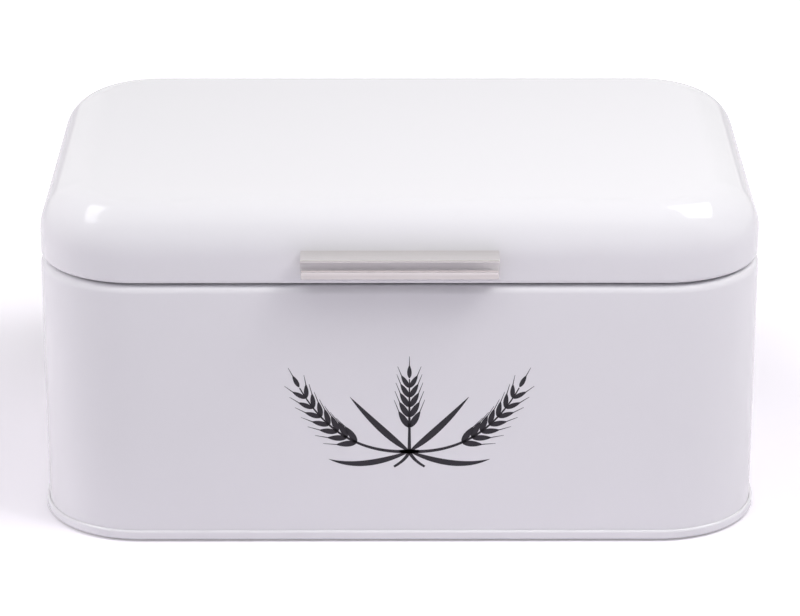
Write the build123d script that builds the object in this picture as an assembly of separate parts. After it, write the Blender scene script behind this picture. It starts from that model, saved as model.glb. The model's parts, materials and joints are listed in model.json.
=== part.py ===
from build123d import *
import os
from math import cos, hypot, radians, sin, tan

# A bread box: a white painted steel body, open at the top, under a domed lid hinged along the rear.
# Millimetres, +Z up, the front towards -Y. The origin is on the surface that the box stands on,
# under the centre of the body.

# The body: one sheet bent round, with a shoulder that turns in to a neck under the lid.
BODY_WIDTH = 305.0
BODY_DEPTH = 203.0
CORNER_RADIUS = 42.4
SHEET = 0.6
BODY_HEIGHT = 115.0
SHOULDER_RADIUS = 3.8
NECK_INSET = 7.0
NECK_HEIGHT = 7.6
NECK_CURL = 2.2
NECK_ROOT_RADIUS = 0.6

# The lock seam that closes the sheet at the rear, and the air holes beside it.
SEAM_WIDTH = 6.0
SEAM_PROUD = 0.5
SEAM_MARGIN = 1.0
VENT_DIAMETER = 4.0
VENT_PITCH = 12.0
VENT_COUNT = 4
VENT_FIRST_X = 15.0
VENT_DROP = 24.0

# The base panel, folded round the foot of the wall into a bead.
BEAD_HEIGHT = 4.0
BEAD_PROUD = 1.25
BEAD_RADIUS = 1.0
BEAD_FLOOR = 0.6
FOLD_CLEARANCE = 0.05
PANEL_RECESS = 3.6
PANEL_STEP = 1.2
PANEL_STEP_INSET = 13.0

# The rubber feet, stuck under the raised middle of the base panel.
FOOT_STAND = 1.0
FOOT_DIAMETER = 14.0
FOOT_INSET = 34.0
FOOT_TAPER = 0.8

# The lid: one drawn sheet with a short straight skirt, a large round edge and a curled rim.
LID_INSET = 0.25
LID_GAP = 0.75
LID_HEIGHT = 30.95
LID_EDGE_RADIUS = 20.0
LID_CURL = 3.2

# The handle: a straight extruded pull on the front of the skirt, with a sloped underside.
HANDLE_WIDTH = 82.0
HANDLE_HEIGHT = 12.3
HANDLE_ABOVE_RIM = 2.75
HANDLE_REACH = 12.0
HANDLE_PLATE = 1.6
HANDLE_LIP = 0.8
HANDLE_SLOPE = 50.0
HANDLE_COVE = 4.0
HANDLE_EDGE = 0.25

# What holds the handle on, inside the lid, and the soft edge that the lid's front comes down on.
STUD_DIAMETER = 3.0
STUD_SPACING = 48.0
STUD_DEPTH = 1.2
STUD_SPARE = 0.8
STUD_CLEARANCE = 0.1
STRIP_LENGTH = 64.0
STRIP_SHEET = 0.8
STRIP_MARGIN = 0.3
NUT_FLATS = 5.5
NUT_THICKNESS = 2.4
PAD_WRAP = 0.3
PAD_HEIGHT = 2.4
PAD_REST_GAP = 0.3

# The two hinges on the rear: a body leaf, a lid leaf with a stop heel, and a pin.
HINGE_SPACING = 170.0
HINGE_WIDTH = 32.0
LEAF_SHEET = 1.0
LEAF_DROP = 25.0
PIN_DIAMETER = 2.5
PIN_CLEARANCE = 0.05
PIN_HEAD_DIAMETER = 3.8
PIN_HEAD = 0.7
KNUCKLE_GAP = 0.3
LID_KNUCKLE = 14.0
OPEN_ANGLE = 100.0
STOP_GAP = 0.05

# The rivets that hold the leaves.
RIVET_DIAMETER = 3.0
RIVET_HEAD_DIAMETER = 5.2
RIVET_HEAD = 1.2
RIVET_TAIL_DIAMETER = 4.4
RIVET_TAIL = 0.9
RIVET_CLEARANCE = 0.05
RIVET_SPACING = 20.0
RIVET_ROW_RISE = 9.0
RIVET_EDGE = 5.0

# Heights above the surface, and faces that several pieces share.
BEAD_Z = FOOT_STAND
WALL_FOOT_Z = BEAD_Z + BEAD_FLOOR + FOLD_CLEARANCE
LEDGE_Z = BEAD_Z + BODY_HEIGHT
NECK_Z = LEDGE_Z + NECK_HEIGHT
PANEL_Z = BEAD_Z + PANEL_RECESS
STEP_Z = PANEL_Z + PANEL_STEP
RIM_Z = LEDGE_Z + LID_GAP
LID_TOP_Z = RIM_Z + LID_HEIGHT
SKIRT_TOP_Z = LID_TOP_Z - LID_EDGE_RADIUS
CURL_TOP_Z = RIM_Z + LID_CURL
REAR_Y = BODY_DEPTH / 2
LID_REAR_Y = REAR_Y - LID_INSET
LID_FRONT_Y = -LID_REAR_Y

# The hinge line, just behind the rear wall and level with the gap under the lid.
KNUCKLE_RADIUS = PIN_DIAMETER / 2 + PIN_CLEARANCE + LEAF_SHEET
HINGE_Y = REAR_Y + KNUCKLE_GAP + KNUCKLE_RADIUS
HINGE_Z = (LEDGE_Z + RIM_Z) / 2

# The strip inside the lid's front: a leg on the skirt, a shelf over the rim and a leg down to the ledge.
STRIP_Z = CURL_TOP_Z + STRIP_MARGIN
SHELF_TOP_Z = STRIP_Z + STRIP_SHEET
STUD_Z = SHELF_TOP_Z + STUD_CLEARANCE + NUT_FLATS / 2
SKIRT_INSIDE_Y = LID_FRONT_Y + SHEET
STRIP_FACE_Y = SKIRT_INSIDE_Y + STRIP_SHEET
LEDGE_MIDDLE_Y = -REAR_Y + (SHOULDER_RADIUS + NECK_INSET - NECK_ROOT_RADIUS) / 2
LEG_FRONT_Y = LEDGE_MIDDLE_Y - STRIP_SHEET / 2
PAD_Z = LEDGE_Z + PAD_REST_GAP
LEG_FOOT_Z = PAD_Z + PAD_WRAP


def block(x0, x1, y0, y1, z0, z1):
    """A box between two corners."""
    return Pos((x0 + x1) / 2, (y0 + y1) / 2, (z0 + z1) / 2) * Box(x1 - x0, y1 - y0, z1 - z0)


def slab(inset, z0, z1):
    """The body's rounded outline, drawn in by inset, from z0 up to z1."""
    outline = RectangleRounded(BODY_WIDTH - 2 * inset, BODY_DEPTH - 2 * inset, CORNER_RADIUS - inset)
    return Pos(0, 0, z0) * extrude(outline, z1 - z0)


def inset_of(point):
    """How far a point lies inside the body's rounded outline, seen from above."""
    qx = abs(point.X) - (BODY_WIDTH / 2 - CORNER_RADIUS)
    qy = abs(point.Y) - (BODY_DEPTH / 2 - CORNER_RADIUS)
    outside = hypot(max(qx, 0), max(qy, 0)) + min(max(qx, qy), 0)
    return CORNER_RADIUS - outside


def rim_edges(solid, z, inset):
    """The edges of a solid that run round it at height z, drawn in by inset from the outline."""
    def on_rim(edge):
        ends = [edge.position_at(t) for t in (0.0, 0.5, 1.0)]
        return all(abs(p.Z - z) < 1e-3 and abs(inset_of(p) - inset) < 1e-3 for p in ends)
    return solid.edges().filter_by(on_rim)


def bar_y(radius, length, x, y, z):
    """A round bar that points along Y from y to y + length."""
    return Pos(x, y + length / 2, z) * Rot(90, 0, 0) * Cylinder(radius, length)


def bar_x(radius, x0, x1, y, z):
    """A round bar that points along X from x0 to x1."""
    return Pos((x0 + x1) / 2, y, z) * Rot(0, 90, 0) * Cylinder(radius, x1 - x0)


def leaf_rivet_places(x):
    """The body leaf's rivets for a hinge centred at x: two low down and one above, as (x, z)."""
    low = LEDGE_Z - LEAF_DROP + RIVET_EDGE
    half = RIVET_SPACING / 2
    return [(x - half, low), (x + half, low), (x, low + RIVET_ROW_RISE)]


def lid_rivet_places(x):
    """The lid leaf's rivets for a hinge centred at x, on the middle of the skirt, as (x, z)."""
    level = (CURL_TOP_Z + SKIRT_TOP_Z) / 2
    return [(x - RIVET_SPACING / 2, level), (x + RIVET_SPACING / 2, level)]


def make_body_wall():
    """The wall with its shoulder, neck, curled mouth, rear lock seam, air holes and rivet holes."""
    outside = slab(0, WALL_FOOT_Z, LEDGE_Z)
    outside = fillet(rim_edges(outside, LEDGE_Z, 0), SHOULDER_RADIUS)
    outside += slab(NECK_INSET, LEDGE_Z - SHEET, NECK_Z)
    inside = slab(SHEET, WALL_FOOT_Z, LEDGE_Z - SHEET)
    inside = fillet(rim_edges(inside, LEDGE_Z - SHEET, SHEET), SHOULDER_RADIUS - SHEET)
    inside += slab(NECK_INSET + SHEET, LEDGE_Z - 2 * SHEET, NECK_Z - NECK_CURL)
    throat = NECK_INSET + NECK_CURL
    inside += slab(throat, LEDGE_Z, NECK_Z)
    wall = outside - inside
    wall = fillet(rim_edges(wall, LEDGE_Z, NECK_INSET), NECK_ROOT_RADIUS)
    curl_radius = 0.45 * NECK_CURL
    wall = fillet(rim_edges(wall, NECK_Z, NECK_INSET), curl_radius)
    wall = fillet(rim_edges(wall, NECK_Z, throat), curl_radius)
    wall = fillet(rim_edges(wall, NECK_Z - NECK_CURL, throat), curl_radius)
    seam_foot = BEAD_Z + BEAD_HEIGHT + SEAM_MARGIN
    seam_top = LEDGE_Z - SHOULDER_RADIUS - SEAM_MARGIN
    half = SEAM_WIDTH / 2
    seam = block(-half, half, REAR_Y - SHEET / 2, REAR_Y + SEAM_PROUD, seam_foot, seam_top)
    seam = chamfer(seam.edges().filter_by(Axis.Z).group_by(Axis.Y)[-1], 0.8 * SEAM_PROUD)
    wall += seam
    holes = []
    for side in (-1, 1):
        for i in range(VENT_COUNT):
            x = side * (VENT_FIRST_X + i * VENT_PITCH)
            holes.append(bar_y(VENT_DIAMETER / 2, 4 * SHEET, x, REAR_Y - 2 * SHEET, LEDGE_Z - VENT_DROP))
        for x, z in leaf_rivet_places(side * HINGE_SPACING / 2):
            radius = RIVET_DIAMETER / 2 + RIVET_CLEARANCE
            holes.append(bar_y(radius, 4 * SHEET, x, REAR_Y - 2 * SHEET, z))
    return wall - holes


def make_base_panel():
    """The base: a raised panel, a leg down inside the wall, and a bead folded up round its foot."""
    leg_inset = SHEET + FOLD_CLEARANCE
    panel = slab(-BEAD_PROUD, BEAD_Z, BEAD_Z + BEAD_HEIGHT)
    panel = fillet(rim_edges(panel, BEAD_Z + BEAD_HEIGHT, -BEAD_PROUD), BEAD_RADIUS)
    panel = fillet(rim_edges(panel, BEAD_Z, -BEAD_PROUD), BEAD_RADIUS)
    groove = slab(-FOLD_CLEARANCE, BEAD_Z + BEAD_FLOOR, BEAD_Z + 2 * BEAD_HEIGHT)
    panel -= groove
    panel += slab(leg_inset, BEAD_Z, PANEL_Z + SHEET)
    panel += slab(PANEL_STEP_INSET, PANEL_Z, STEP_Z + SHEET)
    panel -= slab(leg_inset + SHEET, BEAD_Z, PANEL_Z)
    panel -= slab(PANEL_STEP_INSET + SHEET, PANEL_Z, STEP_Z)
    return panel


def make_foot(side_x, side_y):
    """One round foot under a corner of the base panel, tapered towards the floor."""
    x = side_x * (BODY_WIDTH / 2 - FOOT_INSET)
    y = side_y * (BODY_DEPTH / 2 - FOOT_INSET)
    foot = Cone(FOOT_DIAMETER / 2 - FOOT_TAPER, FOOT_DIAMETER / 2, STEP_Z)
    return Pos(x, y, STEP_Z / 2) * foot


def make_lid_shell():
    """The lid's sheet, its curled rim, and the holes for the handle's studs and the hinge rivets."""
    shell = slab(LID_INSET, RIM_Z, LID_TOP_Z)
    shell = fillet(rim_edges(shell, LID_TOP_Z, LID_INSET), LID_EDGE_RADIUS)
    hollow = slab(LID_INSET + SHEET, CURL_TOP_Z, LID_TOP_Z - SHEET)
    hollow = fillet(rim_edges(hollow, LID_TOP_Z - SHEET, LID_INSET + SHEET), LID_EDGE_RADIUS - SHEET)
    curl_inset = LID_INSET + LID_CURL
    shell -= hollow + slab(curl_inset, RIM_Z, CURL_TOP_Z)
    curl_radius = 0.45 * LID_CURL
    shell = fillet(rim_edges(shell, RIM_Z, LID_INSET), curl_radius)
    shell = fillet(rim_edges(shell, RIM_Z, curl_inset), curl_radius)
    shell = fillet(rim_edges(shell, CURL_TOP_Z, curl_inset), curl_radius)
    holes = []
    for side in (-1, 1):
        radius = STUD_DIAMETER / 2 + STUD_CLEARANCE
        x = side * STUD_SPACING / 2
        holes.append(bar_y(radius, 4 * SHEET, x, LID_FRONT_Y - SHEET, STUD_Z))
        for x, z in lid_rivet_places(side * HINGE_SPACING / 2):
            radius = RIVET_DIAMETER / 2 + RIVET_CLEARANCE
            holes.append(bar_y(radius, 4 * SHEET, x, LID_REAR_Y - 2 * SHEET, z))
    return shell - holes


def make_handle():
    """The pull: an extruded bar with a thin lip, a slope under it and an upright face at its foot."""
    foot_z = RIM_Z + HANDLE_ABOVE_RIM
    top_z = foot_z + HANDLE_HEIGHT
    half = HANDLE_WIDTH / 2
    front_y = LID_FRONT_Y - HANDLE_REACH
    face_y = LID_FRONT_Y - HANDLE_PLATE
    lip_z = top_z - HANDLE_LIP
    bend_z = lip_z - (face_y - front_y) / tan(radians(HANDLE_SLOPE))
    section = Polyline(
        (LID_FRONT_Y, foot_z), (LID_FRONT_Y, top_z), (front_y, top_z), (front_y, lip_z),
        (face_y, bend_z), (face_y, foot_z), close=True)
    handle = Pos(-half, 0, 0) * extrude(Plane.YZ * make_face(section), HANDLE_WIDTH)
    along = handle.edges().filter_by(Axis.X)
    bend = along.filter_by(lambda e: abs(e.center().Y - face_y) < 1e-3 and abs(e.center().Z - bend_z) < 1e-3)
    handle = fillet(bend, HANDLE_COVE)
    tips = handle.edges().filter_by(Axis.X).filter_by(
        lambda e: abs(e.center().Y - front_y) < 1e-3
        or (abs(e.center().Y - face_y) < 1e-3 and abs(e.center().Z - foot_z) < 1e-3))
    handle = fillet(tips, HANDLE_EDGE)
    sockets = [
        bar_y(STUD_DIAMETER / 2, STUD_DEPTH, side * STUD_SPACING / 2, LID_FRONT_Y - STUD_DEPTH, STUD_Z)
        for side in (-1, 1)
    ]
    return handle - sockets


def make_handle_studs():
    """Two studs pressed into the back of the handle's plate, which pass through skirt, strip and nut."""
    length = STUD_DEPTH + SHEET + STRIP_SHEET + NUT_THICKNESS + STUD_SPARE
    studs = []
    for side in (-1, 1):
        x = side * STUD_SPACING / 2
        studs.append(bar_y(STUD_DIAMETER / 2, length, x, LID_FRONT_Y - STUD_DEPTH, STUD_Z))
    return Compound(children=studs)


def make_backing_strip():
    """The strip that the nuts pull against, bent over the rim and down towards the body's ledge."""
    half = STRIP_LENGTH / 2
    upright = block(-half, half, SKIRT_INSIDE_Y, STRIP_FACE_Y, STRIP_Z, SKIRT_TOP_Z)
    shelf = block(-half, half, SKIRT_INSIDE_Y, LEG_FRONT_Y + STRIP_SHEET, STRIP_Z, SHELF_TOP_Z)
    leg = block(-half, half, LEG_FRONT_Y, LEG_FRONT_Y + STRIP_SHEET, LEG_FOOT_Z, SHELF_TOP_Z)
    strip = upright + shelf + leg
    bends = strip.edges().filter_by(Axis.X).filter_by(
        lambda e: abs(e.center().Z - SHELF_TOP_Z) < 1e-3 and e.center().Y > STRIP_FACE_Y + 1e-3)
    strip = fillet(bends, 0.75 * STRIP_SHEET)
    radius = STUD_DIAMETER / 2 + STUD_CLEARANCE
    holes = [
        bar_y(radius, 2 * STRIP_SHEET, side * STUD_SPACING / 2, SKIRT_INSIDE_Y - STRIP_SHEET / 2, STUD_Z)
        for side in (-1, 1)
    ]
    return strip - holes


def make_nuts():
    """The two hexagon nuts on the studs, their flats level so that they clear the strip's shelf."""
    nuts = []
    for side in (-1, 1):
        hexagon = RegularPolygon(NUT_FLATS / 2, 6, major_radius=False)
        nut = extrude(hexagon, NUT_THICKNESS)
        nut = Rot(-90, 0, 0) * nut
        nut = Pos(side * STUD_SPACING / 2, STRIP_FACE_Y, STUD_Z) * nut
        nut -= bar_y(STUD_DIAMETER / 2, NUT_THICKNESS, side * STUD_SPACING / 2, STRIP_FACE_Y, STUD_Z)
        nuts.append(nut)
    return Compound(children=nuts)


def make_rest_pad():
    """The soft edging pushed over the strip's lower leg, which meets the body's ledge."""
    half = STRIP_LENGTH / 2
    back_y = LEG_FRONT_Y + STRIP_SHEET
    pad = block(-half, half, LEG_FRONT_Y - PAD_WRAP, back_y + PAD_WRAP, PAD_Z, PAD_Z + PAD_HEIGHT)
    return pad - block(-half, half, LEG_FRONT_Y, back_y, LEG_FOOT_Z, PAD_Z + PAD_HEIGHT)


def knuckle(x0, x1, bore_radius):
    """One rolled knuckle on the hinge line, from x0 to x1, with its bore."""
    barrel = bar_x(KNUCKLE_RADIUS, x0, x1, HINGE_Y, HINGE_Z)
    return barrel - bar_x(bore_radius, x0, x1, HINGE_Y, HINGE_Z)


def make_body_leaf(x):
    """The leaf on the rear wall, with a knuckle at each end and a notch for the lid's knuckle."""
    left, right = x - HINGE_WIDTH / 2, x + HINGE_WIDTH / 2
    notch = LID_KNUCKLE / 2 + KNUCKLE_GAP
    plate_top = HINGE_Z - KNUCKLE_RADIUS - KNUCKLE_GAP
    back_y, face_y = REAR_Y, REAR_Y + LEAF_SHEET
    foot_z = LEDGE_Z - LEAF_DROP
    leaf = block(left, right, back_y, face_y, foot_z, plate_top)
    corners = leaf.edges().filter_by(Axis.Y).group_by(Axis.Z)[0]
    leaf = fillet(corners, RIVET_EDGE / 2)
    bore = bar_x(PIN_DIAMETER / 2, left, right, HINGE_Y, HINGE_Z)
    for x0, x1 in ((left, x - notch), (x + notch, right)):
        leaf += block(x0, x1, back_y, face_y, plate_top, HINGE_Z)
        leaf += bar_x(KNUCKLE_RADIUS, x0, x1, HINGE_Y, HINGE_Z)
    leaf -= bore
    holes = [
        bar_y(RIVET_DIAMETER / 2 + RIVET_CLEARANCE, LEAF_SHEET, rx, back_y, rz)
        for rx, rz in leaf_rivet_places(x)
    ]
    return leaf - holes


def make_lid_leaf(x):
    """The leaf on the lid's skirt, with the middle knuckle and the heel that stops the lid."""
    left, right = x - HINGE_WIDTH / 2, x + HINGE_WIDTH / 2
    half = LID_KNUCKLE / 2
    plate_foot = HINGE_Z + KNUCKLE_RADIUS + KNUCKLE_GAP
    back_y, face_y = LID_REAR_Y, LID_REAR_Y + LEAF_SHEET
    leaf = block(left, right, back_y, face_y, plate_foot, SKIRT_TOP_Z)
    corners = leaf.edges().filter_by(Axis.Y).group_by(Axis.Z)[-1]
    leaf = fillet(corners, RIVET_EDGE / 2)
    leaf += block(x - half, x + half, back_y, face_y, HINGE_Z, plate_foot)
    leaf += bar_x(KNUCKLE_RADIUS, x - half, x + half, HINGE_Y, HINGE_Z)
    # The heel lies level when the lid is shut. Its lower tip meets the body leaf at the open angle.
    to_leaf = HINGE_Y - (REAR_Y + LEAF_SHEET) - STOP_GAP
    turn = radians(OPEN_ANGLE)
    reach = (to_leaf - LEAF_SHEET / 2 * sin(turn)) / -cos(turn)
    half_sheet = LEAF_SHEET / 2
    leaf += block(x - half, x + half, HINGE_Y, HINGE_Y + reach, HINGE_Z - half_sheet, HINGE_Z + half_sheet)
    leaf -= bar_x(PIN_DIAMETER / 2 + PIN_CLEARANCE, left, right, HINGE_Y, HINGE_Z)
    holes = [
        bar_y(RIVET_DIAMETER / 2 + RIVET_CLEARANCE, LEAF_SHEET, rx, back_y, rz)
        for rx, rz in lid_rivet_places(x)
    ]
    return leaf - holes


def make_pin(x):
    """The hinge pin, with a head at each end."""
    left, right = x - HINGE_WIDTH / 2, x + HINGE_WIDTH / 2
    pin = bar_x(PIN_DIAMETER / 2, left - PIN_HEAD, right + PIN_HEAD, HINGE_Y, HINGE_Z)
    for x0 in (left - PIN_HEAD, right):
        pin += bar_x(PIN_HEAD_DIAMETER / 2, x0, x0 + PIN_HEAD, HINGE_Y, HINGE_Z)
    return pin


def rivet(x, z, face_y):
    """One rivet through a leaf and the sheet behind it: domed head outside, flat tail inside."""
    outer_y = face_y + LEAF_SHEET
    inner_y = face_y - SHEET
    head = bar_y(RIVET_HEAD_DIAMETER / 2, RIVET_HEAD, x, outer_y, z)
    crown = head.edges().filter_by(GeomType.CIRCLE).group_by(Axis.Y)[-1]
    head = fillet(crown, 0.8 * RIVET_HEAD)
    shank = bar_y(RIVET_DIAMETER / 2, LEAF_SHEET + SHEET, x, inner_y, z)
    tail = bar_y(RIVET_TAIL_DIAMETER / 2, RIVET_TAIL, x, inner_y - RIVET_TAIL, z)
    return head + shank + tail


def main():
    """Builds every piece and writes one file for each."""
    os.makedirs("parts", exist_ok=True)
    pieces = {
        "body_wall": make_body_wall(),
        "base_panel": make_base_panel(),
        "lid_shell": make_lid_shell(),
        "handle": make_handle(),
        "handle_studs": make_handle_studs(),
        "handle_nuts": make_nuts(),
        "backing_strip": make_backing_strip(),
        "rest_pad": make_rest_pad(),
    }
    for name_x, side in (("left", -1), ("right", 1)):
        x = side * HINGE_SPACING / 2
        pieces[f"hinge_body_leaf_{name_x}"] = make_body_leaf(x)
        pieces[f"hinge_lid_leaf_{name_x}"] = make_lid_leaf(x)
        pieces[f"hinge_pin_{name_x}"] = make_pin(x)
        body_rivets = [rivet(rx, rz, REAR_Y) for rx, rz in leaf_rivet_places(x)]
        lid_rivets = [rivet(rx, rz, LID_REAR_Y) for rx, rz in lid_rivet_places(x)]
        pieces[f"body_rivets_{name_x}"] = Compound(children=body_rivets)
        pieces[f"lid_rivets_{name_x}"] = Compound(children=lid_rivets)
        for name_y, side_y in (("front", -1), ("rear", 1)):
            pieces[f"foot_{name_y}_{name_x}"] = make_foot(side, side_y)
    for name, piece in pieces.items():
        export_step(piece, f"parts/{name}.step")


main()
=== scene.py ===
"""The looks of a white steel bread box, built round its packed construction model.

Every piece is in metres and in the model's own frame: +Z up, the front towards -Y, the origin on the
surface under the middle of the body. Sheet pieces are sections carried round a rounded rectangle.
"""

import json
import logging
from collections.abc import Callable
from dataclasses import dataclass
from enum import Enum
from functools import partial
from math import atan2, cos, pi, radians, sin

import bpy
import numpy as np
from mathutils import Matrix, Vector

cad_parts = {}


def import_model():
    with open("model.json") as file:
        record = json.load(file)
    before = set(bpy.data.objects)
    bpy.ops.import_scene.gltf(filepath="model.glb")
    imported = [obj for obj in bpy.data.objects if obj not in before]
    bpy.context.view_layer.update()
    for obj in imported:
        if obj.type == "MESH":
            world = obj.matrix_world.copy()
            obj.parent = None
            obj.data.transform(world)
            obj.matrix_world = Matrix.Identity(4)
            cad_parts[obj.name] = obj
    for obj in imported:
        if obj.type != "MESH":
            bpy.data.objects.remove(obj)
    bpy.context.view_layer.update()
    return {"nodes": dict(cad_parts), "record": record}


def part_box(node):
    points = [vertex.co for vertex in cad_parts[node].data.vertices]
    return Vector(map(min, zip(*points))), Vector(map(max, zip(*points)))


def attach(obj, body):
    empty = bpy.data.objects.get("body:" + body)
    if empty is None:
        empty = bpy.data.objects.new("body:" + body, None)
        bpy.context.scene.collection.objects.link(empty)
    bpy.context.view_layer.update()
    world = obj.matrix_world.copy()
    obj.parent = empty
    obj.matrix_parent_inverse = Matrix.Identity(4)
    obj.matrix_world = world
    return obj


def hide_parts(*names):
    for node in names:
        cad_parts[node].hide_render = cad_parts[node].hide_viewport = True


log = logging.getLogger("bread_box")
SHARP_DEG = 35.0
SOFTENED_DEG = 40.0
Piece = bpy.types.Object
Array = np.ndarray
Pair = tuple[float, float]
Triple = tuple[float, float, float]
MM = 0.001
SHEET = 0.6 * MM


class Slot(Enum):
    """The record's material slots."""

    PAINT = "white_paint"
    ALUMINIUM = "satin_aluminium"
    STEEL = "plated_steel"
    RUBBER = "grey_rubber"
    SILICONE = "clear_silicone"
    INK = "black_print"


class Body(Enum):
    """The two bodies that the hinge joins."""

    BOX = "box"
    LID = "lid"


def linear(hex_colour: str) -> tuple[float, float, float, float]:
    """Turns an sRGB colour such as "f0eff2" into Blender's linear colour.

    Args:
        hex_colour: six hex digits.

    Returns:
        Red, green, blue and an alpha of 1.
    """
    values = np.array([int(hex_colour[i:i + 2], 16) for i in (0, 2, 4)]) / 255.0
    curved = np.where(values <= 0.04045, values / 12.92, ((values + 0.055) / 1.055) ** 2.4)
    return (*[float(v) for v in curved], 1.0)


def add_node(tree: bpy.types.NodeTree, kind: str, inputs: dict | tuple = (), **settings) -> bpy.types.Node:
    """Adds a node, sets its properties, and fills or links its input sockets.

    Args:
        tree: the node tree.
        kind: the node's type name.
        inputs: values by socket name or number, or in the sockets' order. An output socket is linked,
            and a node stands for its first output.
        settings: properties of the node itself.

    Returns:
        The new node.
    """
    node = tree.nodes.new(kind)
    for name, value in settings.items():
        setattr(node, name, value)
    for key, value in inputs.items() if isinstance(inputs, dict) else enumerate(inputs):
        if isinstance(value, bpy.types.Node):
            value = value.outputs[0]
        if isinstance(value, bpy.types.NodeSocket):
            tree.links.new(value, node.inputs[key])
        else:
            node.inputs[key].default_value = value
    return node


def cleared(owner: bpy.types.Material | bpy.types.World) -> Callable:
    """Clears the node tree of a material or a world.

    Args:
        owner: the material or world.

    Returns:
        A function that adds a node to the tree.
    """
    owner.use_nodes = True
    owner.node_tree.nodes.clear()
    return partial(add_node, owner.node_tree)


def blank_material(name: str) -> tuple[bpy.types.Material, Callable, bpy.types.NodeSocket]:
    """Makes a material whose tree holds only the wearer's own coordinates.

    Args:
        name: the material's name.

    Returns:
        The material, a function that adds a node to it, and the coordinates' socket.
    """
    material = bpy.data.materials.new(name)
    add = cleared(material)
    return material, add, add("ShaderNodeTexCoord").outputs["Object"]


@dataclass(frozen=True)
class BakedPaint:
    """Gloss baked paint on steel sheet: sprayed, flowed out and stoved.

    To the eye it is a white body under a clear even gloss, with a faint orange peel in the reflections
    and the slight waviness of thin sheet under it.
    """

    name: str = "baked_white_paint"
    colour: str = "f1eff2"
    roughness: float = 0.02
    peel_mm: float = 1.6
    peel_depth_mm: float = 0.0015
    wave_mm: float = 70.0
    wave_depth_mm: float = 0.05

    def make(self) -> bpy.types.Material:
        """Builds the material and returns it."""
        material, add, place = blank_material(self.name)
        peel = add("ShaderNodeTexNoise", {
            "Vector": place, "Scale": 1.0 / (self.peel_mm * MM), "Detail": 1.0})
        wave = add("ShaderNodeTexNoise", {
            "Vector": place, "Scale": 1.0 / (self.wave_mm * MM), "Detail": 0.0})
        broad = add("ShaderNodeBump", {
            "Height": wave, "Distance": self.wave_depth_mm * MM, "Strength": 1.0})
        fine = add("ShaderNodeBump", {
            "Height": peel, "Distance": self.peel_depth_mm * MM, "Strength": 1.0, "Normal": broad})
        shader = add("ShaderNodeBsdfPrincipled", {
            "Base Color": linear(self.colour), "Roughness": self.roughness, "IOR": 1.5, "Normal": fine})
        add("ShaderNodeOutputMaterial", {"Surface": shader})
        return material


@dataclass(frozen=True)
class BrushedMetal:
    """A metal finished by a belt that leaves fine lines one way, such as anodised aluminium.

    To the eye it is a soft grey sheen, drawn out across the lines, with hair lines of lighter and
    darker grey. Real lines are about 0.05 mm apart. These are coarser, so that they show.
    """

    name: str
    colour: str
    line_colour: str
    roughness: float
    line_mm: float
    line_length_mm: float
    line_depth_mm: float
    shade_band: Pair = (0.3, 0.7)

    def make(self) -> bpy.types.Material:
        """Builds the material and returns it."""
        material, add, place = blank_material(self.name)
        along, across = 1.0 / (self.line_length_mm * MM), 1.0 / (self.line_mm * MM)
        drawn_out = add("ShaderNodeMapping", {"Vector": place, "Scale": (along, across, across)})
        lines = add("ShaderNodeTexNoise", {"Vector": drawn_out, "Scale": 1.0, "Detail": 3.0})
        shade = add("ShaderNodeValToRGB", {"Fac": lines})
        for stop, position, colour in zip(
                shade.color_ramp.elements, self.shade_band, (self.line_colour, self.colour)):
            stop.position, stop.color = position, linear(colour)
        relief = add("ShaderNodeBump", {
            "Height": lines, "Distance": self.line_depth_mm * MM, "Strength": 1.0})
        shader = add("ShaderNodeBsdfPrincipled", {
            "Base Color": shade, "Metallic": 1.0, "Roughness": self.roughness, "Normal": relief})
        add("ShaderNodeOutputMaterial", {"Surface": shader})
        return material


@dataclass(frozen=True)
class MouldedRubber:
    """Rubber or silicone from a mould: matt, with a faint cloud of lighter bloom on it."""

    name: str
    colour: str
    bloom_colour: str
    roughness: float
    clear: float
    grain_mm: float = 1.2
    bloom_depth_mm: float = 0.03

    def make(self) -> bpy.types.Material:
        """Builds the material and returns it."""
        material, add, place = blank_material(self.name)
        cloud = add("ShaderNodeTexNoise", {
            "Vector": place, "Scale": 1.0 / (self.grain_mm * MM), "Detail": 4.0})
        shade = add("ShaderNodeValToRGB", {"Fac": cloud})
        shade.color_ramp.elements[0].color = linear(self.colour)
        shade.color_ramp.elements[1].color = linear(self.bloom_colour)
        relief = add("ShaderNodeBump", {
            "Height": cloud, "Distance": self.bloom_depth_mm * MM, "Strength": 0.5})
        shader = add("ShaderNodeBsdfPrincipled", {
            "Base Color": shade, "Roughness": self.roughness, "IOR": 1.45,
            "Transmission Weight": self.clear, "Normal": relief})
        add("ShaderNodeOutputMaterial", {"Surface": shader})
        return material


@dataclass(frozen=True)
class ScreenInk:
    """Black screen-printed ink, stoved with the paint: dense, a little less glossy than the paint."""

    name: str = "stoved_black_ink"
    colour: str = "1f1b23"
    thin_colour: str = "2b2730"
    roughness: float = 0.28
    mesh_mm: float = 0.35

    def make(self) -> bpy.types.Material:
        """Builds the material and returns it."""
        material, add, place = blank_material(self.name)
        mottle = add("ShaderNodeTexNoise", {
            "Vector": place, "Scale": 1.0 / (self.mesh_mm * MM), "Detail": 2.0})
        shade = add("ShaderNodeValToRGB", {"Fac": mottle})
        shade.color_ramp.elements[0].color = linear(self.colour)
        shade.color_ramp.elements[1].color = linear(self.thin_colour)
        shader = add("ShaderNodeBsdfPrincipled", {
            "Base Color": shade, "Roughness": self.roughness, "IOR": 1.5})
        add("ShaderNodeOutputMaterial", {"Surface": shader})
        return material


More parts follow.
